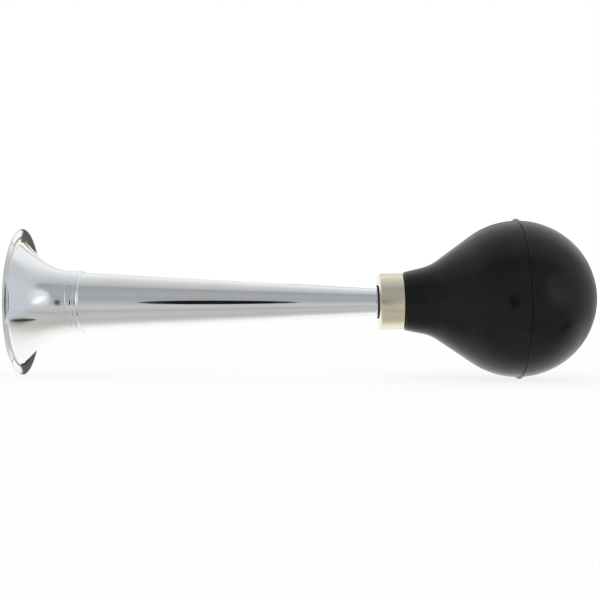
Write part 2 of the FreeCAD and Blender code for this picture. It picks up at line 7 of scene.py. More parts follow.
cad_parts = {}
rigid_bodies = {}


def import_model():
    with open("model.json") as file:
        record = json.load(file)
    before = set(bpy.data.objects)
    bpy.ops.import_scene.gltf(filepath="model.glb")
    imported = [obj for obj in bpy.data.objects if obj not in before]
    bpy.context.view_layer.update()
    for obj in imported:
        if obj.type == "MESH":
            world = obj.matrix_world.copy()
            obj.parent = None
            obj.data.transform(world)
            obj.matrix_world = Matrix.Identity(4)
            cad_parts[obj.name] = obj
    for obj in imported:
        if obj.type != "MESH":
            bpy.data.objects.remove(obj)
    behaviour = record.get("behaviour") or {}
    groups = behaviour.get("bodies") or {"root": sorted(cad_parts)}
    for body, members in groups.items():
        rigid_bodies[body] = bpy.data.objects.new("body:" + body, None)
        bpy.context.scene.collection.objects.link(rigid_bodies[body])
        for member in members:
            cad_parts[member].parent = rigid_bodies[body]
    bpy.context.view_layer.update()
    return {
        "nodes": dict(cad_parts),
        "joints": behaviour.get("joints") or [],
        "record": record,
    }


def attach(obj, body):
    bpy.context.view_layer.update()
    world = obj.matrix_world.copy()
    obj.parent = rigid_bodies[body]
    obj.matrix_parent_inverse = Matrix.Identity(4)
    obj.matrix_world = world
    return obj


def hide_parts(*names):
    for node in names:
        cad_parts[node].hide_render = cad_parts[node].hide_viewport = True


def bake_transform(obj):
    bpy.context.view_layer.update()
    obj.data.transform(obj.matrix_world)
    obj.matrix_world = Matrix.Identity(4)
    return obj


# A straight bulb horn: a chromed bell and tube, a nickelled ferrule and a black rubber bulb.
# It lies on the rim of its bell and on the ridge of its bulb. The sections follow the horn from
# its mouth to its bulb, and the studio comes last.

for thing in list(bpy.data.objects):
    bpy.data.objects.remove(thing)
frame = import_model()

# Bell
# Brass sheet spun over a former into a flare with a lip that is nearly flat. The lip's edge is
# closed forwards round a thin wire, and a short spigot at the throat is soldered into the sleeve.

MM = 0.001
mouth_rest = next(m for m in frame["record"]["mounts"] if m["name"] == "mouth_rest")
horn_axis = -Vector(mouth_rest["axis"])
mouth_centre = Vector((mouth_rest["pos_m"][0], 0, mouth_rest["pos_m"][2]))

RIM_RADIUS = 42.4
BEAD_RADIUS = 0.6
BEAD_CENTRE = 0.55
WIRE_HOLE = 0.3
SHEET = 0.7
THROAT_RADIUS = 18.18
THROAT_END = 28.7
FLARE_POWER = 1.9
FLARE_STEPS = 60
LIP_RADIUS = 34.4
LIP_PLACE = 1.72
LIP_ROUND = 4.0
LIP_TURN = 5.0
LIP_STEPS = 18
THROAT_EASE = 0.6
SPIGOT_RADIUS = 17.53
SPIGOT_END = 31.5
FINE_RINGS = 256


def placed_along(start, axis):
    """Where a piece modelled up the Z axis goes, when its foot is at start and it lies on axis."""
    turn = Vector((0, 0, 1)).rotation_difference(axis).to_matrix().to_4x4()
    return Matrix.Translation(start) @ turn


def turned_piece(name, stations, start, axis, rings=192, capped=False, sharp=28):
    """A turned wall: a ring is extruded and resized from one (radius, place) station to the next.
    A capped wall starts from a small disc, and any other closes on its first ring."""
    bpy.ops.object.select_all(action="DESELECT")
    radius, place = stations[0]
    bpy.ops.mesh.primitive_circle_add(
        vertices=rings,
        radius=radius * MM,
        fill_type="TRIFAN" if capped else "NOTHING",
        location=(0, 0, place * MM),
    )
    piece = bpy.context.object
    piece.name = piece.data.name = name
    bpy.ops.object.mode_set(mode="EDIT")
    bpy.ops.mesh.select_mode(type="EDGE")
    if capped:
        bpy.ops.mesh.region_to_loop()
    for (old_radius, old_place), (radius, place) in zip(stations, stations[1:]):
        bpy.ops.mesh.extrude_edges_move(
            TRANSFORM_OT_translate={"value": (0, 0, (place - old_place) * MM)}
        )
        growth = radius / old_radius
        bpy.ops.transform.resize(
            value=(growth, growth, 1), center_override=(0, 0, place * MM)
        )
    bpy.ops.mesh.select_all(action="SELECT")
    bpy.ops.mesh.remove_doubles(threshold=2e-6)
    bpy.ops.mesh.normals_make_consistent(inside=False)
    bpy.ops.object.mode_set(mode="OBJECT")
    bpy.ops.object.shade_smooth_by_angle(angle=math.radians(sharp))
    piece.matrix_world = placed_along(start, axis) @ piece.matrix_world
    bpy.ops.object.transform_apply(location=True, rotation=True, scale=True)
    return piece


def arc(centre, radius, first, last, steps):
    """Stations on an arc about a (radius, place) centre. Angles are from straight outwards."""
    return [
        (
            centre[0] + radius * math.cos(math.radians(first + (last - first) * n / steps)),
            centre[1] + radius * math.sin(math.radians(first + (last - first) * n / steps)),
        )
        for n in range(steps + 1)
    ]


flare_length = THROAT_END - LIP_PLACE
flare_slope = FLARE_POWER * (LIP_RADIUS - THROAT_RADIUS) / flare_length
lip_angle = math.degrees(math.atan(flare_slope))
lip_middle = (
    LIP_RADIUS + LIP_ROUND * math.cos(math.radians(lip_angle)),
    LIP_PLACE + LIP_ROUND * math.sin(math.radians(lip_angle)),
)
bead_centre = (RIM_RADIUS - BEAD_RADIUS, BEAD_CENTRE)


def flare_station(share, inset):
    """A station between lip and throat, on the flare's back or inset from it by the sheet."""
    left = 1 - share
    slope = -flare_slope * left ** (FLARE_POWER - 1)
    reach = math.hypot(slope, 1)
    return (
        THROAT_RADIUS + (LIP_RADIUS - THROAT_RADIUS) * left**FLARE_POWER - inset / reach,
        LIP_PLACE + flare_length * share + inset * slope / reach,
    )


def sheet_side(inset, throat_share):
    """Stations of one side of the sheet, from the lip through its round to the throat."""
    turned_out = arc(lip_middle, LIP_ROUND + inset, 270 + LIP_TURN, 180 + lip_angle, LIP_STEPS)
    shares = [throat_share * n / FLARE_STEPS for n in range(1, FLARE_STEPS + 1)]
    return turned_out + [flare_station(share, inset) for share in shares]


def seam_angle(inset):
    """How far round the bead, from straight outwards, one side of the lip meets it."""
    turn = math.radians(LIP_TURN)
    reach = LIP_ROUND + inset
    beside = (
        (bead_centre[0] - lip_middle[0]) * math.sin(turn)
        - (bead_centre[1] - lip_middle[1]) * math.cos(turn)
        - reach
    )
    return 90 + LIP_TURN + math.degrees(math.acos(beside / BEAD_RADIUS))


land = math.degrees(math.acos(BEAD_CENTRE / BEAD_RADIUS))
front = sheet_side(SHEET, 1 - SHEET / flare_length)
bell_stations = (
    [(SPIGOT_RADIUS, SPIGOT_END), (SPIGOT_RADIUS, THROAT_END), (THROAT_RADIUS - 0.25, THROAT_END)]
    + [(THROAT_RADIUS - 0.1, THROAT_END - 0.25), (THROAT_RADIUS - 0.02, THROAT_END - 0.42)]
    + sheet_side(0, 1 - THROAT_EASE / flare_length)[::-1]
    + arc(bead_centre, BEAD_RADIUS, seam_angle(0), land - 90, 24)
    + arc(bead_centre, BEAD_RADIUS, -90 - land, seam_angle(SHEET) - 360, 8)
    + front
    + [(SPIGOT_RADIUS - SHEET, front[-1][1]), (SPIGOT_RADIUS - SHEET, SPIGOT_END)]
    + [(SPIGOT_RADIUS, SPIGOT_END)]
)
bell = turned_piece("bell_spun", bell_stations, mouth_centre, horn_axis, rings=FINE_RINGS)

bpy.ops.object.select_all(action="DESELECT")
bpy.ops.mesh.primitive_torus_add(
    major_radius=bead_centre[0] * MM,
    minor_radius=WIRE_HOLE * MM,
    major_segments=192,
    minor_segments=20,
    location=(0, 0, bead_centre[1] * MM),
)
wire_hole = bpy.context.object
bpy.ops.object.mode_set(mode="EDIT")
bpy.ops.mesh.select_all(action="SELECT")
bpy.ops.mesh.flip_normals()
bpy.ops.object.mode_set(mode="OBJECT")
bpy.ops.object.shade_smooth()
wire_hole.matrix_world = placed_along(mouth_centre, horn_axis) @ wire_hole.matrix_world
bell.select_set(True)
bpy.context.view_layer.objects.active = bell
bpy.ops.object.join()


def node_group(name, inputs, outputs):
    """An empty group of shader nodes with its sockets, and its two ends."""
    group = bpy.data.node_groups.new(name, "ShaderNodeTree")
    for socket, kind, value in inputs:
        made = group.interface.new_socket(socket, in_out="INPUT", socket_type=kind)
        if value is not None:
            made.default_value = value
    for socket, kind in outputs:
        group.interface.new_socket(socket, in_out="OUTPUT", socket_type=kind)
    return group, group.nodes.new("NodeGroupInput"), group.nodes.new("NodeGroupOutput")


def chain(tree, kind, links=(), **settings):
    """A node with its settings, fed by (input, output socket) pairs."""
    node = tree.nodes.new(kind)
    for name, value in settings.items():
        setattr(node, name, value)
    for socket, source in links:
        if hasattr(source, "is_output"):
            tree.links.new(source, node.inputs[socket])
        else:
            node.inputs[socket].default_value = source
    return node


def marks_group():
    """Polishing marks, drawn out along the stretched direction of the vector, and soft haze."""
    group, given, result = node_group(
        "polishing_marks",
        [("Stretched", "NodeSocketVector", None), ("Plain", "NodeSocketVector", None)],
        [("Height", "NodeSocketFloat"), ("Haze", "NodeSocketFloat")],
    )
    lines = chain(
        group,
        "ShaderNodeTexNoise",
        [
            ("Vector", given.outputs["Stretched"]),
            ("Scale", 1.0),
            ("Detail", 5.0),
            ("Roughness", 0.62),
        ],
    )
    breath = chain(
        group,
        "ShaderNodeTexNoise",
        [("Vector", given.outputs["Plain"]), ("Scale", 38.0), ("Detail", 4.0), ("Roughness", 0.55)],
    )
    softened = chain(
        group,
        "ShaderNodeMapRange",
        [("Value", breath.outputs[0]), ("From Min", 0.35), ("From Max", 0.72)],
        interpolation_type="SMOOTHSTEP",
    )
    group.links.new(lines.outputs[0], result.inputs["Height"])
    group.links.new(softened.outputs[0], result.inputs["Haze"])
    return group


polishing_marks = marks_group()


def new_material(name):
    """A material with its output, its main shader and the object's own coordinates."""
    material = bpy.data.materials.new(name)
    material.use_nodes = True
    tree = material.node_tree
    tree.nodes.clear()
    shader = chain(tree, "ShaderNodeBsdfPrincipled")
    output = chain(tree, "ShaderNodeOutputMaterial")
    tree.links.new(shader.outputs[0], output.inputs[0])
    place = chain(tree, "ShaderNodeTexCoord").outputs["Object"]
    return material, tree, shader, place


def polished_metal(name, bright, dull, smooth, hazy, stretch, depth, lean=0.0, dulled=None):
    """Metal with polishing marks drawn out by stretch and as deep as depth, and a little haze. Lean
    turns the marks. Dulled is how rough the metal grows, and the places along X where that starts
    and is full."""
    material, tree, shader, place = new_material(name)
    drawn = chain(
        tree,
        "ShaderNodeMapping",
        [("Vector", place), ("Rotation", (0, lean, 0)), ("Scale", stretch)],
    )
    marks = chain(tree, "ShaderNodeGroup", node_tree=polishing_marks)
    tree.links.new(drawn.outputs[0], marks.inputs["Stretched"])
    tree.links.new(place, marks.inputs["Plain"])
    colour = chain(tree, "ShaderNodeMix", [("Factor", marks.outputs["Haze"])], data_type="RGBA")
    colour.inputs[6].default_value = (*bright, 1)
    colour.inputs[7].default_value = (*dull, 1)
    rough = chain(
        tree,
        "ShaderNodeMapRange",
        [("Value", marks.outputs["Haze"]), ("To Min", smooth), ("To Max", hazy)],
    )
    bump = chain(
        tree,
        "ShaderNodeBump",
        [("Height", marks.outputs["Height"]), ("Strength", 1.0), ("Distance", depth)],
    )
    shader.inputs["Metallic"].default_value = 1.0
    tree.links.new(colour.outputs[2], shader.inputs["Base Color"])
    roughness = rough.outputs[0]
    if dulled:
        along = chain(tree, "ShaderNodeSeparateXYZ", [(0, place)])
        reach = chain(
            tree,
            "ShaderNodeMapRange",
            [
                ("Value", along.outputs["X"]),
                ("From Min", dulled[1]),
                ("From Max", dulled[2]),
                ("To Max", dulled[0]),
            ],
            interpolation_type="SMOOTHSTEP",
        )
        roughness = chain(
            tree, "ShaderNodeMath", [(0, roughness), (1, reach.outputs[0])], operation="MAXIMUM"
        ).outputs[0]
    tree.links.new(roughness, shader.inputs["Roughness"])
    tree.links.new(bump.outputs[0], shader.inputs["Normal"])
    return material


CHROME = (0.95, 0.955, 0.96)
CHROME_HAZE = (0.91, 0.915, 0.92)
NECK_DULL = 0.2
NECK_DULL_START = 19
NECK_DULL_FULL = 25
horn_lean = -math.asin(horn_axis.z)
neck_dulled = (
    NECK_DULL,
    mouth_centre.x + NECK_DULL_START * MM,
    mouth_centre.x + NECK_DULL_FULL * MM,
)

bell.data.materials.append(
    polished_metal(
        "bell_chrome",
        CHROME,
        CHROME_HAZE,
        0.045,
        0.085,
        (1600, 26, 26),
        1.2e-6,
        horn_lean,
        dulled=neck_dulled,
    )
)
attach(bell, "horn")
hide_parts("bell")

# Rim wire
# Soft steel wire, bent to a ring and closed inside the bell's rolled edge. Only its ends would
# show, if the edge were opened.

STEEL = (0.5, 0.5, 0.51)
STEEL_DULL = (0.36, 0.35, 0.34)
rim_wire = frame["nodes"]["rim_wire"]
rim_wire.data.materials.clear()
rim_wire.data.materials.append(
    polished_metal("rim_steel", STEEL, STEEL_DULL, 0.32, 0.5, (900, 900, 900), 3e-6)
)

# Coupling sleeve
# A turned band over the joint between bell and tube, soft soldered to both. It narrows behind the
# bell to a rounded ring, which runs out thin onto the tube, and is chromed with them.

SLEEVE_OUTSIDE = 18.18
SLEEVE_START = 28.73
SLEEVE_END = 36.03
SLEEVE_BORE = 17.58
SLEEVE_WAIST = 30.5
RING_OUTSIDE = 18.63
RING_ROUND = 2.9
RING_TURN = 46
RING_TOP = 33.4
TUBE_START = 31.6
TAIL_OUTSIDE = 17.44
TAIL_BORE = 17.33
# how far the wall is in from the sleeve's outside, and how far along it is, at the bell's end, at
# the waist from where that starts, and at the foot of the ring before its top
EASED_END = [(0.3, 0), (0.06, 0.24), (0.01, 0.34), (0, 0.5)]
WAIST = [(0, 0), (0.02, 0.45), (0.08, 0.85), (0.18, 1.25), (0.32, 1.7), (0.42, 1.95), (0.44, 2.1)]
RING_FOOT = [(0.81, 0.62), (0.3, 0.4), (0.08, 0.25)]
sleeve_stations = (
    [(SLEEVE_BORE, SLEEVE_START)]
    + [(SLEEVE_OUTSIDE - inwards, SLEEVE_START + along) for inwards, along in EASED_END]
    + [(SLEEVE_OUTSIDE - inwards, SLEEVE_WAIST + along) for inwards, along in WAIST]
    + [(RING_OUTSIDE - inwards, RING_TOP - before) for inwards, before in RING_FOOT]
    + arc((RING_OUTSIDE - RING_ROUND, RING_TOP), RING_ROUND, 0, RING_TURN, 12)
    + [(TAIL_OUTSIDE + 0.06, SLEEVE_END - 0.23), (TAIL_OUTSIDE, SLEEVE_END)]
    + [(TAIL_BORE, SLEEVE_END), (SLEEVE_BORE, TUBE_START), (SLEEVE_BORE, SLEEVE_START)]
)
sleeve = turned_piece("coupling_sleeve_turned", sleeve_stations, mouth_centre, horn_axis)
sleeve.data.materials.append(
    polished_metal(
        "sleeve_chrome", CHROME, CHROME_HAZE, 0.05, 0.1, (2200, 30, 30), 1.0e-6, horn_lean
    )
)
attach(sleeve, "horn")
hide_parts("coupling_sleeve")

# Tube
# Thin brass sheet rolled to a straight taper and soldered along its length, then polished
# lengthwise and chromed, which leaves fine streaks from end to end.

TUBE_END = 205.1
TUBE_WIDE = 17.53
TUBE_NARROW = 7.6
TUBE_SHEET = 0.6
TUBE_STEPS = 24
tube_outside = [
    (
        TUBE_WIDE + (TUBE_NARROW - TUBE_WIDE) * n / TUBE_STEPS,
        TUBE_START + (TUBE_END - TUBE_START) * n / TUBE_STEPS,
    )
    for n in range(TUBE_STEPS + 1)
]
tube_inside = [(radius - TUBE_SHEET, place) for radius, place in reversed(tube_outside)]
tube_stations = tube_outside + tube_inside + tube_outside[:1]
tube = turned_piece("tube_rolled", tube_stations, mouth_centre, horn_axis)
tube.data.materials.append(
    polished_metal(
        "tube_chrome", CHROME, CHROME_HAZE, 0.045, 0.09, (9, 1300, 1300), 1.1e-6, horn_lean
    )
)
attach(tube, "horn")
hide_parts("tube")

# Tail stem
# A turned brass plug soldered into the tube's small end, with a thin flange that shows as a
# bright edge, and a threaded spigot that the bulb screws onto.

tail_turn = next(j for j in frame["joints"] if j["name"] == "bulb_turn")
tail_start = Vector(tail_turn["pos_m"])
tail_axis = Vector(tail_turn["axis"])
tail_lean = -math.asin(tail_axis.z)
tail_stem = frame["nodes"]["tail_stem"]
tail_stem.data.materials.clear()
tail_stem.data.materials.append(
    polished_metal(
        "stem_chrome", CHROME, CHROME_HAZE, 0.08, 0.16, (1800, 40, 40), 1.5e-6, tail_lean
    )
)

# Seal washer
# A ring punched from black rubber sheet, pinched between the flange and the ferrule so that the
# joint holds air.

RUBBER_IOR = 1.36


def rubber(name, dark, worn, smooth, matt, grain):
    """Black rubber with a moulded grain as deep as grain, a faint mottle from smooth to matt, and
    small specks."""
    material, tree, shader, place = new_material(name)
    mottle = chain(
        tree,
        "ShaderNodeTexNoise",
        [("Vector", place), ("Scale", 42.0), ("Detail", 5.0), ("Roughness", 0.6)],
    )
    patches = chain(
        tree,
        "ShaderNodeMapRange",
        [("Value", mottle.outputs[0]), ("From Min", 0.38), ("From Max", 0.66)],
        interpolation_type="SMOOTHSTEP",
    )
    dots = chain(tree, "ShaderNodeTexVoronoi", [("Vector", place), ("Scale", 210.0)])
    specks = chain(
        tree,
        "ShaderNodeMapRange",
        [
            ("Value", dots.outputs["Distance"]),
            ("From Min", 0.035),
            ("From Max", 0.09),
            ("To Min", 1.0),
            ("To Max", 0.0),
        ],
    )
    fine = chain(
        tree,
        "ShaderNodeTexNoise",
        [("Vector", place), ("Scale", 2600.0), ("Detail", 3.0), ("Roughness", 0.6)],
    )
    broad = chain(
        tree,
        "ShaderNodeTexNoise",
        [("Vector", place), ("Scale", 260.0), ("Detail", 3.0), ("Roughness", 0.5)],
    )
    colour = chain(tree, "ShaderNodeMix", [("Factor", patches.outputs[0])], data_type="RGBA")
    colour.inputs[6].default_value = (*dark, 1)
    colour.inputs[7].default_value = (*worn, 1)
    pitted = chain(
        tree, "ShaderNodeMath", [(0, specks.outputs[0]), (1, -0.8)], operation="MULTIPLY"
    )
    raised = chain(
        tree, "ShaderNodeMath", [(0, broad.outputs[0]), (1, 1.6)], operation="MULTIPLY"
    )
    height = chain(
        tree, "ShaderNodeMath", [(0, fine.outputs[0]), (1, raised.outputs[0])], operation="ADD"
    )
    height = chain(
        tree, "ShaderNodeMath", [(0, height.outputs[0]), (1, pitted.outputs[0])], operation="ADD"
    )
    bump = chain(
        tree,
        "ShaderNodeBump",
        [("Height", height.outputs[0]), ("Strength", 1.0), ("Distance", grain)],
    )
    rough = chain(
        tree,
        "ShaderNodeMapRange",
        [("Value", patches.outputs[0]), ("To Min", smooth), ("To Max", matt)],
    )
    shader.inputs["IOR"].default_value = RUBBER_IOR
    tree.links.new(colour.outputs[2], shader.inputs["Base Color"])
    tree.links.new(rough.outputs[0], shader.inputs["Roughness"])
    tree.links.new(bump.outputs[0], shader.inputs["Normal"])
    return material


WASHER_DARK = (0.012, 0.012, 0.012)
WASHER_WORN = (0.022, 0.021, 0.02)
seal_washer = frame["nodes"]["seal_washer"]
seal_washer.data.materials.clear()
seal_washer.data.materials.append(
    rubber("washer_rubber", WASHER_DARK, WASHER_WORN, 0.5, 0.65, 2e-5)
)

# Reed gasket
# A ring punched from thin brown leather. It seals the head of the reed block against the end of
# the spigot, so that all the air goes past the tongue.

LEATHER_DARK = (0.2, 0.105, 0.045)
LEATHER_PALE = (0.36, 0.21, 0.1)
gasket_leather, tree, shader, place = new_material("gasket_leather")
pores = chain(
    tree,
    "ShaderNodeTexVoronoi",
    [("Vector", place), ("Scale", 2400.0)],
    feature="DISTANCE_TO_EDGE",
)
stain = chain(
    tree, "ShaderNodeTexNoise", [("Vector", place), ("Scale", 300.0), ("Detail", 4.0)]
)
tone = chain(tree, "ShaderNodeMix", [("Factor", stain.outputs[0])], data_type="RGBA")
tone.inputs[6].default_value = (*LEATHER_DARK, 1)
tone.inputs[7].default_value = (*LEATHER_PALE, 1)
grain = chain(
    tree,
    "ShaderNodeBump",
    [("Height", pores.outputs["Distance"]), ("Strength", 0.6), ("Distance", 5e-5)],
)
shader.inputs["Roughness"].default_value = 0.75
tree.links.new(tone.outputs[2], shader.inputs["Base Color"])
tree.links.new(grain.outputs[0], shader.inputs["Normal"])
reed_gasket = frame["nodes"]["reed_gasket"]
reed_gasket.data.materials.clear()
reed_gasket.data.materials.append(gasket_leather)

# Reed
# A turned brass block with a half-round shallot, a springy bronze tongue over its slot, and a
# filed bridge that two cheese-head screws hold down on the tongue's root.

BRASS = (0.72, 0.5, 0.2)
BRASS_DULL = (0.5, 0.34, 0.15)
BRONZE = (0.72, 0.43, 0.19)
BRONZE_DULL = (0.5, 0.29, 0.14)
reed_brass = polished_metal(
    "reed_brass", BRASS, BRASS_DULL, 0.2, 0.38, (2600, 60, 60), 3e-6, tail_lean
)
for label in ("reed_block", "reed_clamp"):
    reed_part = frame["nodes"][label]
    reed_part.data.materials.clear()
    reed_part.data.materials.append(reed_brass)
reed_tongue = frame["nodes"]["reed_tongue"]
reed_tongue.data.materials.clear()
reed_tongue.data.materials.append(
    polished_metal(
        "tongue_bronze", BRONZE, BRONZE_DULL, 0.24, 0.4, (40, 2400, 2400), 3e-6, tail_lean
    )
)
screw_brass = polished_metal(
    "screw_brass", BRASS, BRASS_DULL, 0.16, 0.3, (1500, 1500, 60), 2e-6, tail_lean
)
for label in ("reed_screw_left", "reed_screw_right"):
    reed_screw = frame["nodes"][label]
    reed_screw.data.materials.clear()
    reed_screw.data.materials.append(screw_brass)

# Ferrule
# A spun brass cup over the front of the bulb's neck, nickelled to a warm satin. Its front is
# dished, its corner rounded, and its rear edge chamfered where it meets the rubber.

FERRULE_START = 1.16
FERRULE_END = 16.16
FERRULE_RADIUS = 16.1
FERRULE_BORE = 15.3
FERRULE_HOLE = 8.03
FERRULE_DISH = 0.85
FERRULE_SHEET = 0.8
CORNER = 1.1
CHAMFER_START = 15.3
dish_rise = FERRULE_DISH / (FERRULE_RADIUS - FERRULE_HOLE)
dish_slope = math.atan(dish_rise)
corner_centre = (
    FERRULE_RADIUS - CORNER,
    FERRULE_START
    + dish_rise * (FERRULE_RADIUS - CORNER - FERRULE_HOLE)
    + CORNER / math.cos(dish_slope),
)
ferrule_stations = (
    [(FERRULE_HOLE, FERRULE_START)]
    + arc(corner_centre, CORNER, math.degrees(dish_slope) - 90, 0, 12)
    + [(FERRULE_RADIUS, 9.0), (FERRULE_RADIUS, CHAMFER_START)]
    + [(FERRULE_RADIUS - 0.02, CHAMFER_START + 0.12), (FERRULE_RADIUS - 0.12, CHAMFER_START + 0.26)]
    + [(FERRULE_RADIUS - 0.66, FERRULE_END - 0.06), (FERRULE_RADIUS - 0.75, FERRULE_END)]
    + [(FERRULE_BORE, FERRULE_END)]
    + [(FERRULE_BORE, FERRULE_START + FERRULE_DISH + FERRULE_SHEET)]
    + [(FERRULE_HOLE, FERRULE_START + FERRULE_SHEET), (FERRULE_HOLE, FERRULE_START)]
)
ferrule = turned_piece("ferrule_spun", ferrule_stations, tail_start, tail_axis)
NICKEL = (0.9, 0.835, 0.66)
NICKEL_HAZE = (0.84, 0.775, 0.61)
ferrule.data.materials.append(
    polished_metal(
        "ferrule_nickel", NICKEL, NICKEL_HAZE, 0.2, 0.29, (2100, 22, 22), 4e-6, tail_lean
    )
)
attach(ferrule, "bulb_mount")
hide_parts("bulb_ferrule")

# Neck insert
# A turned brass hub in the ferrule's front. Its thread takes the stem, and its barbs hold the
# rubber, which is cemented over them.

neck_insert = frame["nodes"]["neck_insert"]
neck_insert.data.materials.clear()
neck_insert.data.materials.append(
    polished_metal(
        "insert_brass", BRASS, BRASS_DULL, 0.2, 0.36, (2400, 50, 50), 3e-6, tail_lean
    )
)

# Bulb
# Black rubber moulded in one hollow piece in a two-part mould, which leaves a thin ridge of
# flash round its widest place. The thick neck goes up inside the ferrule, over the insert.

BULB_RADIUS = 45.2
BULB_MIDDLE = 81.6
BULB_WALL = 3.2
CAVITY = BULB_RADIUS - BULB_WALL
RIDGE_RADIUS = 46.49
RIDGE_HALF = 0.36
RIDGE_TIP = 0.24
SHOULDER = 35.0
NECK_SLOPE = 12.4
NECK_RADIUS = 16.8
NECK_START = 16.26
NECK_ROUND = 0.5
NECK_INSIDE = 15.2
NECK_BORE = 8.7
NECK_BORE_END = 19.0
RUBBER_FRONT = 4.44
SHOULDER_ROUND = 25.0
REAR_POLE = 88.6


def neck_and_shoulder():
    """The stations from the ferrule's edge to the ball: a slope, a hollow curve and a slope."""
    shoulder, slope = math.radians(SHOULDER), math.radians(NECK_SLOPE)
    fall, rise = math.tan(shoulder), math.tan(slope)
    top = (NECK_RADIUS + NECK_ROUND * rise, NECK_START + NECK_ROUND)
    tangent = (
        BULB_RADIUS * math.cos(shoulder),
        BULB_MIDDLE - BULB_RADIUS * math.sin(shoulder),
    )
    meeting = (tangent[0] - top[0] + rise * top[1] - fall * tangent[1]) / (rise - fall)
    corner = (tangent[0] + fall * (meeting - tangent[1]), meeting)
    setback = SHOULDER_ROUND * math.tan((shoulder - slope) / 2)
    hollow = (
        corner[0] - setback * math.sin(slope) + SHOULDER_ROUND * math.cos(slope),
        corner[1] - setback * math.cos(slope) - SHOULDER_ROUND * math.sin(slope),
    )
    curve = arc(hollow, SHOULDER_ROUND, 180 - NECK_SLOPE, 180 - SHOULDER, 10)
    return [top] + curve + [tangent]


ridge_foot = math.degrees(math.asin(RIDGE_HALF / BULB_RADIUS))
ball = (0, BULB_MIDDLE)
bulb_stations = (
    arc(ball, BULB_RADIUS, REAR_POLE, 4, 44)
    + arc(ball, BULB_RADIUS, 3, ridge_foot + 0.25, 4)
    + [(BULB_RADIUS + 0.1, BULB_MIDDLE + RIDGE_HALF - 0.01)]
    + arc((RIDGE_RADIUS - RIDGE_TIP, BULB_MIDDLE), RIDGE_TIP, 80, -80, 8)
    + [(BULB_RADIUS + 0.1, BULB_MIDDLE - RIDGE_HALF + 0.01)]
    + arc(ball, BULB_RADIUS, -ridge_foot - 0.25, -3, 4)
    + arc(ball, BULB_RADIUS, -4, -SHOULDER + 1, 18)
    + neck_and_shoulder()[::-1]
    + arc((NECK_RADIUS - NECK_ROUND, NECK_START + NECK_ROUND), NECK_ROUND, -10, -90, 5)
    + [(NECK_INSIDE, NECK_START), (NECK_INSIDE, RUBBER_FRONT), (NECK_BORE, RUBBER_FRONT)]
    + [(NECK_BORE, 12.0), (NECK_BORE, NECK_BORE_END)]
    + arc(ball, CAVITY, -SHOULDER, REAR_POLE, 40)
    + [(0, BULB_MIDDLE + CAVITY)]
)
bulb = turned_piece(
    "bulb_moulded", bulb_stations, tail_start, tail_axis, rings=224, capped=True, sharp=40
)
BULB_DARK = (0.0026, 0.0025, 0.0025)
BULB_WORN = (0.0072, 0.007, 0.0068)
bulb.data.materials.append(rubber("bulb_rubber", BULB_DARK, BULB_WORN, 0.17, 0.27, 1.0e-5))
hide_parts("bulb_front", "bulb_rear")
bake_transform(bulb)

# Studio
# A pale floor that keeps a soft shadow, a tent of white light that is greyer on the camera's
# side, and the dark front of the camera, which only polished metal shows.

FLOOR_SIZE = 8
FLOOR_PLACE = -0.00005
FLOOR_WHITE = 0.96
FLOOR_GLOW = 0.84
bpy.ops.object.select_all(action="DESELECT")
bpy.ops.mesh.primitive_plane_add(size=FLOOR_SIZE, location=(0, 0, FLOOR_PLACE))
floor = bpy.context.object
floor.name = "floor"
floor.visible_glossy = False
floor_paint = bpy.data.materials.new("floor_paint")
floor_paint.use_nodes = True
tree = floor_paint.node_tree
tree.nodes.clear()
floor_white = (FLOOR_WHITE, FLOOR_WHITE, FLOOR_WHITE, 1)
matt = chain(tree, "ShaderNodeBsdfDiffuse", [("Color", floor_white)])
glow = chain(tree, "ShaderNodeEmission", [("Color", (1, 1, 1, 1)), ("Strength", 1.0)])
path = chain(tree, "ShaderNodeLightPath")
share = chain(
    tree,
    "ShaderNodeMath",
    [(0, path.outputs["Is Camera Ray"]), (1, FLOOR_GLOW)],
    operation="MULTIPLY",
)
mixed = chain(
    tree, "ShaderNodeMixShader", [(0, share.outputs[0]), (1, matt.outputs[0]), (2, glow.outputs[0])]
)
output = chain(tree, "ShaderNodeOutputMaterial", [(0, mixed.outputs[0])])
floor.data.materials.append(floor_paint)

# the tent's tones by the angle round the horn, in degrees up from the camera: the angle, the tone,
# and how far it is from grey towards blue
TENT = [
    (-180, 1.0, 0.0),
    (-138, 1.0, 0.0),
    (-126, 0.98, 0.0),
    (-114, 0.88, -0.02),
    (-102, 0.73, -0.03),
    (-90, 0.56, -0.03),
    (-80, 0.5, -0.03),
    (-70, 0.475, -0.03),
    (-62, 0.53, -0.02),
    (-42, 0.49, -0.01),
    (-38.6, 0.41, 0.0),
    (-35, 0.49, 0.0),
    (-20, 0.57, 0.0),
    (-13, 0.53, 0.0),
    (-3, 0.45, 0.0),
    (15, 0.375, 0.02),
    (21, 0.4, 0.03),
    (32, 0.415, 0.04),
    (50, 0.385, 0.05),
    (61, 0.36, 0.04),
    (69, 0.51, 0.03),
    (84, 0.59, 0.03),
    (100, 0.68, 0.02),
    (114, 0.78, 0.01),
    (124, 0.88, 0.0),
    (145, 0.92, 0.0),
    (147, 0.2, 0.0),
    (149, 0.94, 0.0),
    (165, 1.0, 0.0),
    (180, 1.0, 0.0),
]
world = bpy.data.worlds.new("tent")
bpy.context.scene.world = world
world.use_nodes = True
tree = world.node_tree
tree.nodes.clear()
direction = chain(tree, "ShaderNodeTexCoord").outputs["Generated"]
parts = chain(tree, "ShaderNodeSeparateXYZ", [(0, direction)])
towards = chain(tree, "ShaderNodeMath", [(0, parts.outputs["Y"]), (1, -1.0)], operation="MULTIPLY")
angle = chain(
    tree, "ShaderNodeMath", [(0, parts.outputs["Z"]), (1, towards.outputs[0])], operation="ARCTAN2"
)
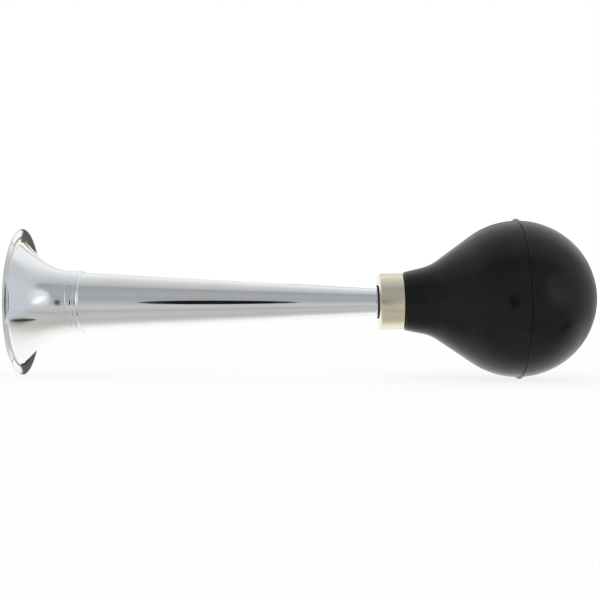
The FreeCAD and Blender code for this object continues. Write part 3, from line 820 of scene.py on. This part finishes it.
turn = chain(
    tree,
    "ShaderNodeMapRange",
    [("Value", angle.outputs[0]), ("From Min", -math.pi), ("From Max", math.pi)],
)
tent = chain(tree, "ShaderNodeValToRGB", [(0, turn.outputs[0])])
ramp = tent.color_ramp
while len(ramp.elements) < len(TENT):
    ramp.elements.new(0.5)
for stop, (degrees, tone, blue) in zip(ramp.elements, TENT):
    stop.position = 0.5 + degrees / 360
    stop.color = (tone * (1 - blue), tone * (1 + max(-blue, 0) * 0.8), tone * (1 + blue), 1)
bearing = chain(
    tree, "ShaderNodeMath", [(0, parts.outputs["X"]), (1, towards.outputs[0])], operation="ARCTAN2"
)
height = chain(tree, "ShaderNodeMath", [(0, parts.outputs["Z"])], operation="ARCSINE")
place = chain(
    tree, "ShaderNodeCombineXYZ", [("X", bearing.outputs[0]), ("Y", height.outputs[0])]
)


def hung(under, bearing, height, wide, tall, lean, soft, square, tone):
    """A panel in the tent over what is under it, round or square, with a soft edge."""
    turned = chain(
        tree,
        "ShaderNodeMapping",
        [
            ("Vector", place.outputs[0]),
            ("Location", (math.radians(bearing), math.radians(height), 0)),
            ("Rotation", (0, 0, math.radians(lean))),
            ("Scale", (math.radians(wide), math.radians(tall), 1)),
        ],
        vector_type="TEXTURE",
    )
    if square:
        sides = chain(tree, "ShaderNodeVectorMath", [(0, turned.outputs[0])], operation="ABSOLUTE")
        sides = chain(tree, "ShaderNodeSeparateXYZ", [(0, sides.outputs[0])])
        reach = chain(
            tree,
            "ShaderNodeMath",
            [(0, sides.outputs["X"]), (1, sides.outputs["Y"])],
            operation="MAXIMUM",
        ).outputs[0]
    else:
        length = chain(tree, "ShaderNodeVectorMath", [(0, turned.outputs[0])], operation="LENGTH")
        reach = length.outputs["Value"]
    edge = chain(
        tree,
        "ShaderNodeMapRange",
        [
            ("Value", reach),
            ("From Min", 1 - soft),
            ("From Max", 1 + soft),
            ("To Min", 1.0),
            ("To Max", 0.0),
        ],
        interpolation_type="SMOOTHSTEP",
    )
    panel = chain(tree, "ShaderNodeMix", [("Factor", edge.outputs[0])], data_type="RGBA")
    tree.links.new(under, panel.inputs[6])
    panel.inputs[7].default_value = (*tone, 1)
    return panel.outputs[2]


# what hangs in the tent, the later over the earlier: the bearing of its middle from the camera
# towards the bulb, its height, half its width, half its height and its lean, all in degrees, then
# how soft its edge is, whether it is square, and its tone
HANGINGS = [
    # grey cloth on the bulb's side, round and square, which the bell's flare shows
    (92, 12, 37, 34, 0, 0.22, False, (0.545, 0.58, 0.61)),
    (138, 0, 25, 17, 0, 0.3, False, (0.53, 0.54, 0.54)),
    (62, 9, 28, 19, 0, 0.1, True, (0.58, 0.61, 0.65)),
    # a lamp and the light round it, the flare's bright spot
    (46, 12, 15, 18, -30, 0.6, False, (0.78, 0.8, 0.84)),
    (48, 6, 12, 6, -43, 0.6, False, (1.08, 1.08, 1.08)),
    # painted shadow: a dark streak with a softer grey round it, low down beyond the bulb, in place
    # of the horn's shadow on the floor, which reflections don't see; the flare's dark streak
    (80, -27, 9, 6, 40, 0.6, False, (0.3, 0.34, 0.3)),
    (77, -28, 14, 2.6, 41, 0.35, False, (0.05, 0.06, 0.05)),
    # a dark opening behind the bulb, its upper, lower and side parts, the drops on the bell's lip
    (174.5, 11.3, 10.5, 10.2, 0, 0.04, True, (0.145, 0.14, 0.085)),
    (174.5, -7.2, 10.5, 6, 0, 0.04, True, (0.04, 0.06, 0.07)),
    (158, 0, 8.2, 3, 0, 0.04, True, (0.097, 0.11, 0.093)),
]
surround = tent.outputs[0]
for hanging in HANGINGS:
    surround = hung(surround, *hanging)
path = chain(tree, "ShaderNodeLightPath")
lit = chain(
    tree, "ShaderNodeMix", [("Factor", path.outputs["Is Glossy Ray"])], data_type="RGBA"
)
lit.inputs[6].default_value = (1, 1, 1, 1)
tree.links.new(surround, lit.inputs[7])
seen = chain(
    tree, "ShaderNodeMix", [("Factor", path.outputs["Is Camera Ray"])], data_type="RGBA"
)
tree.links.new(lit.outputs[2], seen.inputs[6])
seen.inputs[7].default_value = (1, 1, 1, 1)
sky = chain(tree, "ShaderNodeBackground", [("Color", seen.outputs[2]), ("Strength", 1.0)])
output = chain(tree, "ShaderNodeOutputWorld", [(0, sky.outputs[0])])

# Camera
# Level with the horn, square to its tube and rolled with it, so that the tube lies level in
# the picture.

ALONG_HORN = 0.1612
ABOVE_HORN = 0.0011
DISTANCE = 0.6095
LENS = 63
SENSOR = 36
CARD_BEHIND = 0.03
CARD_ASIDE = -0.022
CARD_BELOW = -0.03
CARD_HALF_WIDTH = 0.092
CARD_HALF_HEIGHT = 0.11
CAMERA_BLACK = (0.01, 0.008, 0.006)
across = Vector((0, 1, 0))
above = Vector((-horn_axis.z, 0, horn_axis.x))
camera = bpy.data.objects.new("camera", bpy.data.cameras.new("camera"))
bpy.context.scene.collection.objects.link(camera)
camera.data.lens = LENS
camera.data.sensor_width = SENSOR
camera.data.clip_start = 0.01
camera.data.clip_end = 40
camera_place = mouth_centre + horn_axis * ALONG_HORN + above * ABOVE_HORN - across * DISTANCE
camera.matrix_world = Matrix.Translation(camera_place) @ Matrix(
    (
        (horn_axis.x, above.x, -across.x, 0),
        (horn_axis.y, above.y, -across.y, 0),
        (horn_axis.z, above.z, -across.z, 0),
        (0, 0, 0, 1),
    )
)
bpy.context.scene.camera = camera
bpy.context.scene.view_settings.view_transform = "Standard"

bpy.ops.object.select_all(action="DESELECT")
bpy.ops.mesh.primitive_circle_add(
    vertices=64,
    radius=1,
    fill_type="NGON",
    location=camera_place - across * CARD_BEHIND + Vector((CARD_ASIDE, 0, CARD_BELOW)),
    rotation=(math.radians(90), 0, 0),
)
camera_front = bpy.context.object
camera_front.name = "camera_front"
camera_front.scale = (CARD_HALF_WIDTH, CARD_HALF_HEIGHT, 1)
camera_front.visible_camera = False
camera_front.visible_diffuse = False
camera_front.visible_shadow = False
black = bpy.data.materials.new("camera_black")
black.use_nodes = True
tree = black.node_tree
tree.nodes.clear()
shade = chain(tree, "ShaderNodeEmission", [("Color", (*CAMERA_BLACK, 1)), ("Strength", 1.0)])
output = chain(tree, "ShaderNodeOutputMaterial", [(0, shade.outputs[0])])
camera_front.data.materials.append(black)

bpy.context.view_layer.update()
